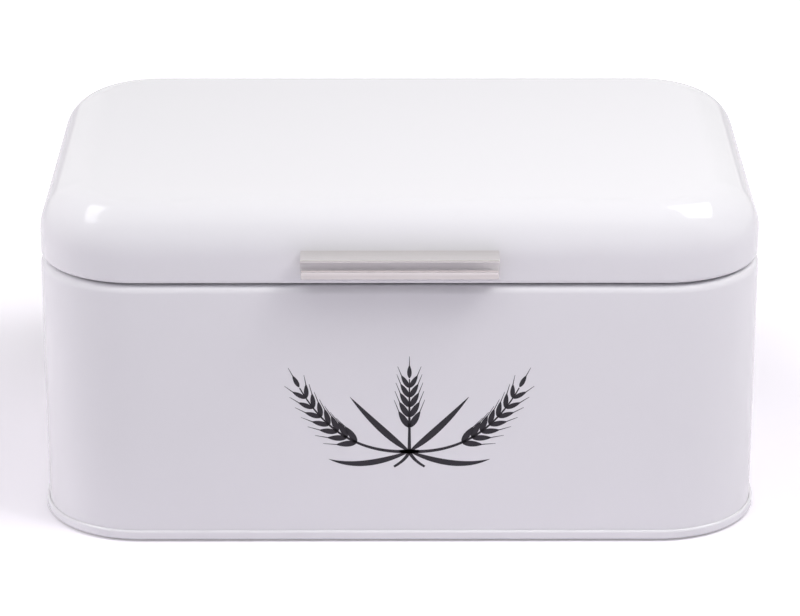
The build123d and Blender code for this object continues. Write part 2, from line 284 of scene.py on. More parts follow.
class Finishes:
    """Makes each finish once and hands it out by slot."""

    def __init__(self) -> None:
        """Builds the materials of the whole object."""
        self.by_slot = {
            Slot.PAINT: BakedPaint().make(),
            Slot.ALUMINIUM: BrushedMetal(
                "brushed_anodised_aluminium", "f2efec", "e6e2de", roughness=0.14,
                line_mm=0.14, line_length_mm=18.0, line_depth_mm=0.001).make(),
            Slot.STEEL: BrushedMetal(
                "zinc_plated_steel", "c6c3bd", "a9a7a3", roughness=0.30,
                line_mm=0.5, line_length_mm=2.5, line_depth_mm=0.002).make(),
            Slot.RUBBER: MouldedRubber(
                "moulded_grey_rubber", "2b2b2d", "434346", roughness=0.75, clear=0.0).make(),
            Slot.SILICONE: MouldedRubber(
                "clear_silicone", "dfe2e4", "f1f3f4", roughness=0.38, clear=0.55).make(),
            Slot.INK: ScreenInk().make(),
        }

    def dress(self, piece: Piece, slot: Slot) -> None:
        """Gives a piece or a construction node the finish of a slot.

        Args:
            piece: the object.
            slot: the material slot.
        """
        piece.data.materials.clear()
        piece.data.materials.append(self.by_slot[slot])

    def dress_nodes(self, nodes: dict, record: dict) -> None:
        """Dresses the construction nodes, also those in whose place a finer piece will stand.

        Args:
            nodes: the construction nodes by name.
            record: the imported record.
        """
        for part in record["subparts"]:
            slot = Slot(part["material_slot"])
            self.dress(nodes[part["node"]], slot)
            log.info("%s dressed as %s", part["node"], slot.value)

    def fit(self, piece: Piece, slot: Slot, body: Body) -> None:
        """Gives a new piece its finish, its slot and the body it rides on, and reports it.

        Args:
            piece: the object.
            slot: the material slot.
            body: the body that carries it.
        """
        self.dress(piece, slot)
        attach(piece, body.value)
        faces = len(piece.data.polygons)
        log.info("%s: %d faces, %s, on the %s", piece.name, faces, slot.value, body.value)


def mesh_piece(name: str, points: Array, faces: list[Array], sharp_deg: float = SHARP_DEG) -> Piece:
    """Makes a mesh object from whole arrays.

    Args:
        name: the piece's name.
        points: corner positions, shape (n, 3).
        faces: corner numbers, one array of shape (count, sides) for each kind of face.
        sharp_deg: edges that turn more than this are drawn sharp.

    Returns:
        The object, linked into the scene.
    """
    mesh = bpy.data.meshes.new(name)
    loops = np.concatenate([kind.ravel() for kind in faces]).astype(np.int32)
    sides = np.concatenate([np.full(len(kind), kind.shape[1]) for kind in faces])
    mesh.vertices.add(len(points))
    mesh.vertices.foreach_set("co", np.ravel(points).astype(np.float32))
    mesh.loops.add(len(loops))
    mesh.loops.foreach_set("vertex_index", loops)
    mesh.polygons.add(len(sides))
    mesh.polygons.foreach_set("loop_start", (np.cumsum(sides) - sides).astype(np.int32))
    mesh.polygons.foreach_set("use_smooth", np.ones(len(sides), bool))
    mesh.update(calc_edges=True)
    mesh.validate()
    mesh.set_sharp_from_angle(angle=radians(sharp_deg))
    piece = bpy.data.objects.new(name, mesh)
    bpy.context.scene.collection.objects.link(piece)
    return piece


def arc(centre: Pair, radius: float, start: float, end: float, steps: int) -> Array:
    """Points along an arc: centre + radius * (cos a, sin a), with a from start to end in even steps.

    Args:
        centre: the arc's centre.
        radius: its radius.
        start: its first angle in degrees.
        end: its last angle in degrees.
        steps: how many chords it has.

    Returns:
        The points, shape (steps + 1, 2).
    """
    angles = np.radians(np.linspace(start, end, steps + 1))
    return np.asarray(centre) + radius * np.stack([np.cos(angles), np.sin(angles)], axis=-1)


def line(start: Pair, end: Pair, steps: int) -> Array:
    """Points along a straight line without its two ends, so that arcs can join it.

    Args:
        start: one end.
        end: the other end.
        steps: how many chords the line has.

    Returns:
        The inner points, shape (steps - 1, 2).
    """
    share = np.linspace(0.0, 1.0, steps + 1)[1:-1, None]
    return (1 - share) * np.asarray(start) + share * np.asarray(end)


@dataclass(frozen=True)
class Outline:
    """A rounded rectangle seen from above, centred on the upright axis."""

    half_width: float
    half_depth: float
    radius: float
    corner_steps: int = 36
    side_steps: int = 16

    def points(self) -> tuple[Array, Array]:
        """Places and outward normals along the outline, anticlockwise.

        Each corner is its centre plus radius times (cos a, sin a) over a quarter turn. Each side is the
        straight line from one corner's end to the next one's start, with the corner's last normal.

        Returns:
            Points and unit normals, each of shape (n, 2).
        """
        x, y = self.half_width - self.radius, self.half_depth - self.radius
        centres = [(x, y), (-x, y), (-x, -y), (x, -y)]
        turns = [arc((0, 0), 1.0, 90 * k, 90 * k + 90, self.corner_steps) for k in range(4)]
        corners = [np.asarray(c) + self.radius * turn for c, turn in zip(centres, turns)]
        places, normals = [], []
        for k in range(4):
            side = line(corners[k][-1], corners[(k + 1) % 4][0], self.side_steps)
            places += [corners[k], side]
            normals += [turns[k], np.repeat(turns[k][-1:], len(side), axis=0)]
        return np.concatenate(places), np.concatenate(normals)


# The wall's outer face, which the base is folded round and the front's print lies on.
WALL = Outline(half_width=152.5 * MM, half_depth=101.5 * MM, radius=42.4 * MM)


def weave(low: Array, high: Array, here: Array, ahead: Array) -> Array:
    """Four-sided faces low + here, high + here, high + ahead, low + ahead, by corner number."""
    return np.stack([low + here, high + here, high + ahead, low + ahead], -1).reshape(-1, 4)


def carry_round(outline: Outline, section: Array,
                scale: Array | None = None) -> tuple[Array, list[Array]]:
    """Carries a section round an outline.

    The point for section row i and outline column j is scale_i * (place_j + out_i * normal_j), at
    height_i. With no scale the section is a closed loop and the surface a ring. With a scale the first
    and last rows have scale 0, so each is one point, and the surface is closed like a ball.

    Args:
        outline: the path, seen from above.
        section: rows of (distance outward from the outline, height), shape (m, 2).
        scale: how far each row is drawn towards the axis, 1 on the outline and 0 on the axis.

    Returns:
        Points, and faces wound so that they face outward where the section runs outward along the top
        and down along the outside.
    """
    places, normals = outline.points()
    n, m = len(places), len(section)
    flat = places[None] + section[:, None, :1] * normals[None]
    if scale is not None:
        flat = flat * scale[:, None, None]
    grid = np.concatenate([flat, np.broadcast_to(section[:, None, 1:], (m, n, 1))], axis=2)
    columns = np.arange(n)
    after = (columns + 1) % n
    if scale is None:
        rows = np.arange(m)[:, None]
        return grid.reshape(-1, 3), [weave(rows * n, (rows + 1) % m * n, columns, after)]
    rows = np.arange(m - 3)[:, None]
    first, end = (m - 2) * n, (m - 3) * n
    top_fan = np.stack([np.full(n, first), columns, after], -1)
    low_fan = np.stack([np.full(n, first + 1), end + after, end + columns], -1)
    points = np.concatenate([grid[1:-1].reshape(-1, 3), grid[:1, 0], grid[-1:, 0]])
    return points, [weave(rows * n, (rows + 1) * n, columns, after), np.concatenate([top_fan, low_fan])]


def crowned(steps: int, start: Pair, between: list, end: Pair) -> tuple[Array, Array]:
    """Closes a section over the axis at both ends.

    The rows at an end repeat the section's point there, and their scales, sin t with t from 0 towards
    a quarter turn, spread them from the axis out to it.

    Args:
        steps: how many rows close each end.
        start: the section's first point.
        between: its other stretches, in order.
        end: its last point.

    Returns:
        Section rows and their scales.
    """
    shares = np.sin(np.linspace(0.0, pi / 2, steps + 1))[:-1]
    middle = np.concatenate(between)
    rows = np.concatenate([np.tile(start, (steps, 1)), middle, np.tile(end, (steps, 1))])
    return rows, np.concatenate([shares, np.ones(len(middle)), shares[::-1]])


def prism(name: str, section: Array, start: float, end: float, axis: int = 0) -> Piece:
    """A solid bar: a flat section carried straight along one axis, with flat ends.

    The point for section corner j at end k is the section's pair placed on the two other axes, and
    start or end on the bar's axis.

    Args:
        name: the piece's name.
        section: corners on the two other axes in x, y, z order, shape (m, 2).
        start: where the bar starts along its axis.
        end: where it ends.
        axis: 0, 1 or 2 for x, y or z.

    Returns:
        The object, with its faces turned outward.
    """
    m = len(section)
    points = np.insert(np.concatenate([section, section]), axis, np.repeat([start, end], m), axis=1)
    here = np.arange(m)
    ahead = (here + 1) % m
    turn = np.sum(section[here, 0] * section[ahead, 1] - section[ahead, 0] * section[here, 1])
    faces = [weave(here, ahead, 0, m), np.stack([here[::-1], here + m])]
    if (turn > 0) == (axis == 1):
        faces = [kind[:, ::-1] for kind in faces]
    return mesh_piece(name, points, faces, sharp_deg=30.0)


def turned(profiles: list[Array], places: list[Triple], axis: int, name: str,
           around: int = 40) -> Piece:
    """Turned pieces in one mesh: each profile is spun about a line through its place.

    The point for profile row i and step j of the circle stands at the row's distance along the axis
    and, across it, at its radius times (cos a_j, sin a_j). The first and last rows have radius 0, so
    each end is one point and every piece is closed.

    Args:
        profiles: for each piece, rows of (radius, distance along the axis), running up the axis.
        places: each piece's origin.
        axis: 0, 1 or 2 for x, y or z.
        name: the object's name.
        around: steps of the circle.

    Returns:
        The object.
    """
    turn = np.arange(around) * 2 * pi / around
    columns, ahead = np.arange(around), (np.arange(around) + 1) % around
    points, quads, fans, base = [], [], [], 0
    for profile, place in zip(profiles, places):
        ring = profile[1:-1]
        body = np.zeros((len(ring), around, 3))
        body[..., axis] = ring[:, 1:]
        body[..., (axis + 1) % 3] = ring[:, :1] * np.cos(turn)
        body[..., (axis + 2) % 3] = ring[:, :1] * np.sin(turn)
        tips = np.zeros((2, 3))
        tips[:, axis] = profile[[0, -1], 1]
        points.append(np.concatenate([body.reshape(-1, 3), tips]) + np.asarray(place))
        rows = np.arange(len(ring) - 1)[:, None] * around
        quads.append(base + weave(columns, ahead, rows, rows + around))
        low, last = len(ring) * around, (len(ring) - 1) * around
        fans.append(base + np.concatenate([
            np.stack([np.full(around, low), ahead, columns], -1),
            np.stack([np.full(around, low + 1), last + columns, last + ahead], -1)]))
        base += len(points[-1])
    faces = [np.concatenate(quads), np.concatenate(fans)]
    return mesh_piece(name, np.concatenate(points), faces, sharp_deg=40.0)


def soften(piece: Piece, width: float, segments: int = 3) -> None:
    """Rounds a piece's sharp edges by width, as tumbling or filing does.

    Args:
        piece: the object.
        width: the rounding in metres.
        segments: chords across each rounded edge.
    """
    bevel = piece.modifiers.new("soft_edges", "BEVEL")
    bevel.width = width
    bevel.segments = segments
    bevel.limit_method = "ANGLE"
    bevel.angle_limit = radians(SOFTENED_DEG)
    bevel.harden_normals = True


@dataclass
class LidShell:
    """The drawn lid: flat top, large round edge, short skirt, and a rim turned in and folded back."""

    finishes: Finishes
    sheet: float = SHEET
    corner: float = 42.15 * MM
    edge: float = 20.0 * MM
    rim: float = 2.0 * MM
    rim_inner_start: float = -78.0
    fold: Pair = (-105.0, -265.0)

    def section(self, top: float, foot: float) -> tuple[Array, Array]:
        """The lid's section, from the middle of the top, over the edge, round the rim and back inside.

        The rim is a quarter turn inwards whose end is folded up and back on itself.

        Args:
            top: height of the top face.
            foot: height of the rim's lowest point.

        Returns:
            Section rows and their scales.
        """
        bend, hub = (-self.edge, top - self.edge), (-self.rim, foot + self.rim)
        return crowned(14, (-self.edge, top), [
            arc(bend, self.edge, 90, 0, 30),
            line((0.0, bend[1]), (0.0, hub[1]), 5),
            arc(hub, self.rim, 0, -90, 18),
            arc((-self.rim, foot + self.sheet), self.sheet, *self.fold, 12),
            arc(hub, self.rim - self.sheet, self.rim_inner_start, 0, 14),
            line((-self.sheet, hub[1]), (-self.sheet, bend[1]), 5),
            arc(bend, self.edge - self.sheet, 0, 90, 20),
        ], (-self.edge, top - self.sheet))

    def build(self) -> None:
        """Builds the lid in the place of its construction node."""
        low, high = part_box("lid_shell")
        outline = Outline(high.x, high.y, self.corner)
        section, scale = self.section(high.z, low.z)
        piece = mesh_piece("lid_sheet", *carry_round(outline, section, scale))
        self.finishes.fit(piece, Slot.PAINT, Body.LID)
        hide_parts("lid_shell")


@dataclass
class BodyShell:
    """The bent wall: straight side, round shoulder, narrow ledge, and a neck with a rolled mouth."""

    finishes: Finishes
    outline: Outline = WALL
    sheet: float = SHEET
    shoulder: float = 3.8 * MM
    neck_inset: float = 7.0 * MM
    neck_height: float = 7.6 * MM
    neck_root: float = 0.6 * MM
    roll: float = 1.1 * MM
    roll_turn: float = 300.0
    seam_half: float = 3.0 * MM
    seam_proud: float = 0.5 * MM
    seam_bend: float = 0.2 * MM
    seam_soft: float = 0.15 * MM
    seam_foot: float = 6.0 * MM
    seam_margin: float = 1.0 * MM
    groove_place: float = 1.65 * MM
    groove_half: float = 0.2 * MM
    groove_depth: float = 0.3 * MM
    vent_radius: float = 2.0 * MM
    vent_drop: float = 24.0 * MM
    vent_places: tuple[float, ...] = (15.0, 27.0, 39.0, 51.0)

    def section(self, foot: float, mouth: float) -> Array:
        """The wall's section as a closed loop: down the outside from the rolled mouth, up the inside.

        Args:
            foot: height of the wall's foot.
            mouth: height of the mouth's top.

        Returns:
            Section rows.
        """
        ledge = mouth - self.neck_height
        hub = (-self.neck_inset - self.roll, mouth - self.roll)
        root = (-self.neck_inset + self.neck_root, ledge + self.neck_root)
        turn = (-self.shoulder, ledge - self.shoulder)
        return np.concatenate([
            line((0.0, foot), (0.0, turn[1]), 6),
            arc(turn, self.shoulder, 0, 90, 20),
            arc(root, self.neck_root, -90, -180, 8),
            arc(hub, self.roll, 0, self.roll_turn, 32),
            arc(hub, self.roll - self.sheet, self.roll_turn, 0, 20),
            arc(root, self.neck_root + self.sheet, -180, -90, 8),
            arc(turn, self.shoulder - self.sheet, 90, 0, 14),
            line((-self.sheet, turn[1]), (-self.sheet, foot), 6),
            [(-self.sheet, foot), (0.0, foot)],
        ])[::-1]

    def build(self) -> None:
        """Builds the wall in the place of its construction node."""
        low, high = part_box("body_wall")
        ledge = high.z - self.neck_height
        piece = mesh_piece("wall_sheet", *carry_round(self.outline, self.section(low.z, high.z)))
        self.punch(piece, ledge - self.vent_drop)
        self.finishes.fit(piece, Slot.PAINT, Body.BOX)
        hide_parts("body_wall")
        seam = self.seam(ledge - self.shoulder - self.seam_margin)
        self.finishes.fit(seam, Slot.PAINT, Body.BOX)

    def punch(self, piece: Piece, height: float) -> None:
        """Punches the air holes through the rear wall with one cutter of eight round bars.

        Args:
            piece: the wall's object.
            height: the holes' height above the floor.
        """
        reach = 3 * self.sheet
        bar = np.array([(0.0, -reach), (self.vent_radius, -reach), (self.vent_radius, reach), (0.0, reach)])
        middle = self.outline.half_depth - self.sheet / 2
        places = [(side * x * MM, middle, height) for side in (-1, 1) for x in self.vent_places]
        cutter = turned([bar] * len(places), places, 1, "vent_cutter", around=32)
        cut = piece.modifiers.new("air_holes", "BOOLEAN")
        cut.operation, cut.solver, cut.object = "DIFFERENCE", "EXACT", cutter
        graph = bpy.context.evaluated_depsgraph_get()
        mesh = bpy.data.meshes.new_from_object(piece.evaluated_get(graph))
        piece.modifiers.clear()
        piece.data = mesh
        mesh.set_sharp_from_angle(angle=radians(SHARP_DEG))
        bpy.data.objects.remove(cutter)

    def seam(self, head: float) -> Piece:
        """Builds the lock seam: the wall's two ends hooked together and pressed flat down the rear.

        Its section has rounded shoulders and a fine groove where the outer hook ends.

        Args:
            head: the height of its upper end.

        Returns:
            The seam's object.
        """
        half, bend, place, wide = self.seam_half, self.seam_bend, self.groove_place, self.groove_half
        back = self.outline.half_depth - 0.5 * self.sheet
        face = self.outline.half_depth + self.seam_proud
        section = np.concatenate([
            [(-half, back)],
            arc((-half + bend, face - bend), bend, 180, 90, 5),
            [(place - wide, face), (place, face - self.groove_depth), (place + wide, face)],
            arc((half - bend, face - bend), bend, 90, 0, 5),
            [(half, back)],
        ])
        piece = prism("lock_seam", section[::-1], self.seam_foot, head, axis=2)
        soften(piece, self.seam_soft, 2)
        return piece


@dataclass
class BasePanel:
    """The pressed base: raised middle, leg down inside the wall, and the bead folded round its foot."""

    finishes: Finishes
    outline: Outline = WALL
    sheet: float = SHEET
    fold: float = 0.05 * MM
    fold_round: float = 0.275 * MM
    bead_proud: float = 1.25 * MM
    bead_height: float = 4.0 * MM
    bead_round: float = 1.0 * MM
    bead_lip: float = 0.2 * MM
    recess: float = 3.6 * MM
    step: float = 1.2 * MM
    step_inset: float = 13.0 * MM
    step_round: float = 0.55 * MM

    def section(self, foot: float) -> tuple[Array, Array]:
        """The base's section, from the middle of the floor outward, round the bead and back below.

        Args:
            foot: height of the bead's lowest point.

        Returns:
            Section rows and their scales.
        """
        panel, tip = foot + self.recess, foot + self.bead_height
        raised, leg, edge = panel + self.step, -self.sheet - self.fold, -self.step_inset
        r, s, low = self.step_round, self.sheet, self.fold_round
        bend, lip = self.bead_round, self.bead_lip
        return crowned(8, (edge - r, raised + s), [
            arc((edge - r, raised + s - r), r, 90, 0, 6),
            arc((edge + r, panel + s + r), r, 180, 270, 6),
            arc((leg - r, panel + s - r), r, 90, 0, 6),
            [(leg, foot + s), (self.fold, foot + s)],
            arc((self.fold + lip, tip - lip), lip, 180, 90, 4),
            arc((self.bead_proud - bend, tip - bend), bend, 90, 0, 10),
            arc((self.bead_proud - bend, foot + bend), bend, 0, -90, 10),
            arc((leg - s + low, foot + low), low, -90, -180, 5),
            arc((leg - s - r, panel - r), r, 0, 90, 6),
            arc((edge - s + r, panel + r), r, 270, 180, 6),
            arc((edge - s - r, raised - r), r, 0, 90, 6),
        ], (edge - s - r, raised))

    def build(self) -> None:
        """Builds the base in the place of its construction node."""
        low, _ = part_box("base_panel")
        section, scale = self.section(low.z)
        piece = mesh_piece("base_sheet", *carry_round(self.outline, section, scale))
        self.finishes.fit(piece, Slot.PAINT, Body.BOX)
        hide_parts("base_panel")


@dataclass
class Pull:
    """The pull on the lid's front: an extruded bar with a lip, a slope under it and an upright face."""

    finishes: Finishes
    plate: float = 1.6 * MM
    lip: float = 0.8 * MM
    slope: float = 50.0
    cove: float = 4.0 * MM
    edge: float = 0.25 * MM

    def section(self, low: Vector, high: Vector) -> Array:
        """The pull's section in (y, z), from its box's corners.

        The slope leaves the lip's foot and meets the upright face in an arc that touches both. With c
        and s the cosine and sine of the slope, its run is (depth left - cove * (1 - c)) / s.

        Args:
            low: lowest corner of the pull.
            high: highest corner of the pull.

        Returns:
            The section's corners in order.
        """
        back, front = high.y, low.y
        face = back - self.plate
        under = high.z - self.lip
        c, s = cos(radians(self.slope)), sin(radians(self.slope))
        run = (face - front - self.cove * (1 - c)) / s
        hub = (face - self.cove, under - run * c - self.cove * s)
        return np.concatenate([
            [(back, low.z), (back, high.z), (front, high.z), (front, under)],
            arc(hub, self.cove, self.slope, 0, 12),
            [(face, low.z)],
        ])

    def build(self) -> None:
        """Builds the pull in the place of its construction node."""
        low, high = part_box("handle")
        piece = prism("pull_bar", self.section(low, high), low.x, high.x)
        soften(piece, self.edge)
        self.finishes.fit(piece, Slot.ALUMINIUM, Body.LID)
        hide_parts("handle")


@dataclass
class Fasteners:
    """Turned fasteners of the two hinges: domed rivets with dished tails, and pins with domed heads."""

    finishes: Finishes
    head: float = 2.6 * MM
    head_rise: float = 1.2 * MM
    head_land: float = 0.1 * MM
    shank: float = 1.5 * MM
    tail: float = 2.2 * MM
    tail_rise: float = 0.9 * MM
    tail_round: float = 0.3 * MM
    tail_dish: float = 0.25 * MM
    leaf: float = 1.0 * MM
    wall: float = SHEET
    rivet_half_pitch: float = 10.0 * MM
    rivet_row_rise: float = 9.0 * MM
    pin: float = 1.25 * MM
    pin_head: float = 1.9 * MM
    pin_head_rise: float = 0.7 * MM
    pin_dome: float = 0.56 * MM

    def rivet(self) -> Array:
        """A rivet's profile along +y from the sheet's inner face: tail, shank, domed head.

        Over a short upright land the head is part of an ellipse, radius head * cos t and rise
        (head_rise - head_land) * sin t. The tail is a dished button whose rim is rounded.

        Returns:
            Rows of (radius, distance along the axis).
        """
        t = np.radians(np.linspace(0, 90, 13))
        grip, bend, foot = self.leaf + self.wall, self.tail_round, -self.tail_rise
        dome = np.stack([self.head * np.cos(t),
                         grip + self.head_land + (self.head_rise - self.head_land) * np.sin(t)], -1)
        dome[-1, 0] = 0.0
        dish = foot + self.tail_dish
        return np.concatenate([
            [(0.0, dish), (0.5 * self.shank, dish), (self.shank, foot)],
            arc((self.tail - bend, foot + bend), bend, -90, 0, 5),
            arc((self.tail - bend, -bend), bend, 0, 90, 5),
            [(self.shank, 0.0), (self.shank, grip), (self.head, grip)],
            dome,
        ])

    def pin_profile(self, length: float) -> Array:
        """A hinge pin's profile along +x: a domed head at each end of a plain bar.

        Args:
            length: overall length.

        Returns:
            Rows of (radius, distance along the axis).
        """
        t = np.radians(np.linspace(90, 0, 9))
        dome = np.stack([self.pin_head * np.cos(t), self.pin_dome * (1 - np.sin(t))], -1)
        dome[0, 0] = 0.0
        half = np.concatenate([dome, [(self.pin_head, self.pin_head_rise), (self.pin, self.pin_head_rise)]])
        return np.concatenate([half, (half * (1, -1) + (0, length))[::-1]])

    def build(self) -> None:
        """Builds every rivet group and pin in the place of its construction node."""
        for side in ("left", "right"):
            for group, body, count in (("body_rivets", Body.BOX, 3), ("lid_rivets", Body.LID, 2)):
                low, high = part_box(f"{group}_{side}")
                x, y, z = (low.x + high.x) / 2, low.y + self.tail_rise, low.z + self.head
                places = [(x - self.rivet_half_pitch, y, z), (x + self.rivet_half_pitch, y, z)]
                places += [(x, y, z + self.rivet_row_rise)] * (count - 2)
                piece = turned([self.rivet()] * count, places, 1, f"{group}_domed_{side}")
                self.finishes.fit(piece, Slot.STEEL, body)
                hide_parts(f"{group}_{side}")
            low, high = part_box(f"hinge_pin_{side}")
            place = (low.x, (low.y + high.y) / 2, (low.z + high.z) / 2)
            piece = turned([self.pin_profile(high.x - low.x)], [place], 0, f"hinge_pin_domed_{side}")
            self.finishes.fit(piece, Slot.STEEL, Body.BOX)
            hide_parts(f"hinge_pin_{side}")


@dataclass
class Feet:
    """Moulded rubber feet: tapered, with a rounded edge, a ring groove and a hollow middle below."""

    finishes: Finishes
    edge: float = 0.6 * MM
    top_edge: float = 0.2 * MM
    taper: float = 0.8 * MM
    groove_radius: float = 4.1 * MM
    groove: float = 0.35 * MM
    hollow_radius: float = 2.2 * MM
    hollow_depth: float = 1.6 * MM

    def profile(self, foot_radius: float, head_radius: float, height: float) -> Array:
        """A foot's profile along +z, from the hollow in its underside to its flat top.

        Args:
            foot_radius: radius at the floor.
            head_radius: radius at the top.
            height: overall height.

        Returns:
            Rows of (radius, distance along the axis).
        """
        g, e, top = self.groove, self.edge, self.top_edge
        return np.concatenate([
            [(0.0, self.hollow_depth), (self.hollow_radius - e / 2, self.hollow_depth)],
            [(self.hollow_radius, e / 2), (self.hollow_radius + e / 2, 0.0)],
            arc((self.groove_radius, 0.0), g, 180, 0, 8),
            arc((foot_radius - e, e), e, -90, -8, 8),
            [(head_radius, height - top), (head_radius - top, height), (0.0, height)],
        ])

    def build(self) -> None:
        """Builds the four feet in the places of their construction nodes."""
        for name in ("front_left", "front_right", "rear_left", "rear_right"):
            low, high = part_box(f"foot_{name}")
            head = (high.x - low.x) / 2
            place = ((low.x + high.x) / 2, (low.y + high.y) / 2, low.z)
            profile = self.profile(head - self.taper, head, high.z - low.z)
            piece = turned([profile], [place], 2, f"foot_moulded_{name}", around=64)
            self.finishes.fit(piece, Slot.RUBBER, Body.BOX)
            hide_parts(f"foot_{name}")


@dataclass
class Ornament:
    """The printed ornament on the front: three ears of wheat with four leaves, tied in one sheaf.

    A stem is its pull, its tip, the share at which its ear begins and the pairs of grains. A leaf is
    its pull, its tip and its half width. Pulls and tips are in millimetres from the knot.
    """

    finishes: Finishes
    knot: Pair = (4.0 * MM, 41.5 * MM)
    front: float = -WALL.half_depth
    proud: float = 0.03 * MM
    buried: float = 0.1 * MM
    grain_length: float = 9.2 * MM
    grain_half: float = 1.35 * MM
    grain_lean: float = 30.0
    grain_gap: float = 0.05
    tip_half: float = 0.03 * MM
    beard: float = 6.0 * MM
    beard_lean: float = 0.7
    beard_halves: Pair = (0.2 * MM, 0.08 * MM)
    ear_taper: float = 0.3
    heading_step: float = 0.01
    stem_halves: tuple[float, ...] = (0.75 * MM, 0.55 * MM, 0.25 * MM)
    middle_stem: tuple[Pair, Pair, float, int] = ((0.0, 18.0), (0.0, 33.0), 0.30, 6)
    side_stem: tuple[Pair, Pair, float, int] = ((30.0, -1.5), (46.0, 29.0), 0.40, 8)
    leaves: tuple[tuple[Pair, Pair, float], ...] = (
        ((12.0, 9.0), (25.0, 25.0), 1.5 * MM), ((20.0, -9.0), (34.0, -3.5), 1.3 * MM))
    stalk: tuple[Pair, Pair] = ((-1.5, -4.0), (-6.5, -7.0))
    stalk_halves: Pair = (0.8 * MM, 0.5 * MM)
    tie: float = 4.2 * MM
    tie_halves: Pair = (1.0 * MM, 0.7 * MM)

    def film(self, strokes: list[tuple[Array, Array]]) -> Piece:
        """Makes printed strokes as one thin closed film on the front face.

        Each stroke is a centre line with a half width at each of its points. Its two edges are the
        centre line plus and minus the half width times the line's normal, on the film's outer face and
        again on its buried back.

        Args:
            strokes: pairs of centre line (n, 2) in (x, z) from the knot, and half widths (n,).

        Returns:
            The film's object.
        """
        points, quads, base = [], [], 0
        for path, half in strokes:
            slope = np.gradient(path, axis=0)
            slope /= np.linalg.norm(slope, axis=1)[:, None]
            normal = np.stack([-slope[:, 1], slope[:, 0]], -1)
            centre = path + np.asarray(self.knot)
            left, right = centre + half[:, None] * normal, centre - half[:, None] * normal
            flat = np.stack([left, right, right, left], 1)
            n = len(path)
            grid = np.empty((n, 4, 3))
            grid[..., ::2] = flat
            grid[:, :2, 1], grid[:, 2:, 1] = self.front - self.proud, self.front + self.buried
            points.append(grid.reshape(-1, 3))
            rows, k = np.arange(n - 1)[:, None] * 4, np.arange(4)
            after = (k + 1) % 4
            caps = np.array([[3, 2, 1, 0], [4 * n - 4, 4 * n - 3, 4 * n - 2, 4 * n - 1]])
            quads.append(base + np.concatenate([weave(k, after, rows, rows + 4), caps]))
            base += 4 * n
        faces = [np.concatenate(quads)]
        return mesh_piece("printed_wheat", np.concatenate(points), faces, sharp_deg=20.0)

    def almond(self, path: Array, half: float) -> tuple[Array, Array]:
        """A stroke that swells and thins like a grain: half * sin(pi * t ** 0.8) ** 0.8 at share t.

        Args:
            path: its centre line, from the full end to the tip.
            half: its greatest half width.

        Returns:
            The stroke.
        """
        t = np.linspace(0.0, 1.0, len(path))
        return path, np.maximum(np.sin(pi * t ** 0.8).clip(0.0) ** 0.8 * half, self.tip_half)

    def bend(self, pull: Pair, tip: Pair, share: Array) -> Array:
        """A curve from the knot: 2 t (1 - t) * pull + t * t * tip.

        Args:
            pull: the point that draws the curve out, in millimetres.
            tip: its end, in millimetres.
            share: the shares t.

        Returns:
            Places in metres, shape (n, 2).
        """
        t = share[:, None]
        return (2 * t * (1 - t) * np.array(pull) + t * t * np.array(tip)) * MM

    def ear(self, pull: Pair, tip: Pair, start: float, rows: int) -> list:
        """One stem with its ear: pairs of grains that lean away from it, each with a fine beard.

        Args:
            pull: the point that draws the stem out, in millimetres.
            tip: the stem's end, in millimetres.
            start: share of the stem at which the ear begins.
            rows: pairs of grains.

        Returns:
            The strokes.
        """
        t = np.linspace(0.0, 1.0, 40)
        strokes = [(self.bend(pull, tip, t), np.interp(t, [0.0, start, 1.0], self.stem_halves))]
        for share in np.linspace(start, 1.0, rows):
            here, ahead = self.bend(pull, tip, np.array([share, share + self.heading_step]))
            heading = atan2(*(ahead - here)[::-1])
            size = 1.0 - self.ear_taper * (share - start) / (1.0 - start)
            for lean in (-self.grain_lean, self.grain_lean) if share < 1.0 else (0.0,):
                turns = heading + np.radians([lean, self.beard_lean * lean])
                along, away = np.stack([np.cos(turns), np.sin(turns)], -1)
                reach = np.linspace(self.grain_gap, 1.0, 16)[:, None] * self.grain_length * size
                grain = here + reach * along
                strokes.append(self.almond(grain, self.grain_half * size))
                hair = grain[-2] + np.linspace(0.0, 1.0, 6)[:, None] * away * self.beard * size
                strokes.append((hair, np.linspace(*self.beard_halves, 6)))
        return strokes

    def build(self) -> None:
        """Prints the sheaf on the body's front."""
        share = np.linspace(0.0, 1.0, 36)
        strokes = self.ear(*self.middle_stem)
        pull, tip, start, rows = self.side_stem
        for side in (-1, 1):
            mirror = np.array([side, 1.0])
            strokes += self.ear(mirror * pull, mirror * tip, start, rows)
            for leaf_pull, leaf_tip, half in self.leaves:
                leaf = self.bend(mirror * leaf_pull, mirror * leaf_tip, share)
                strokes.append(self.almond(leaf, half))
            stalk = self.bend(*(mirror * self.stalk), share)
            strokes.append((stalk, np.linspace(*self.stalk_halves, len(share))))
            tie = np.linspace((0.0, 0.0), (side * self.tie, 0.0), 12)
            strokes.append((tie, np.linspace(*self.tie_halves, len(tie))))
        self.finishes.fit(self.film(strokes), Slot.INK, Body.BOX)


@dataclass(frozen=True)
class Glow:
    """One share of the room's light: strength times (cosine of the angle to the axis) to a power."""

    axis: Triple
    power: float
    strength: float
    colour: str


class Task(Enum):
    """What a lamp is there for."""

    LIGHT = "lights the matt share of every surface"
    MIRROR = "is seen in gloss"


@dataclass(frozen=True)
class Lamp:
    """A flat soft white lamp that faces the object."""

    name: str
    towards: Triple
    size: Pair
    turn: float
    radiance: float
    task: Task


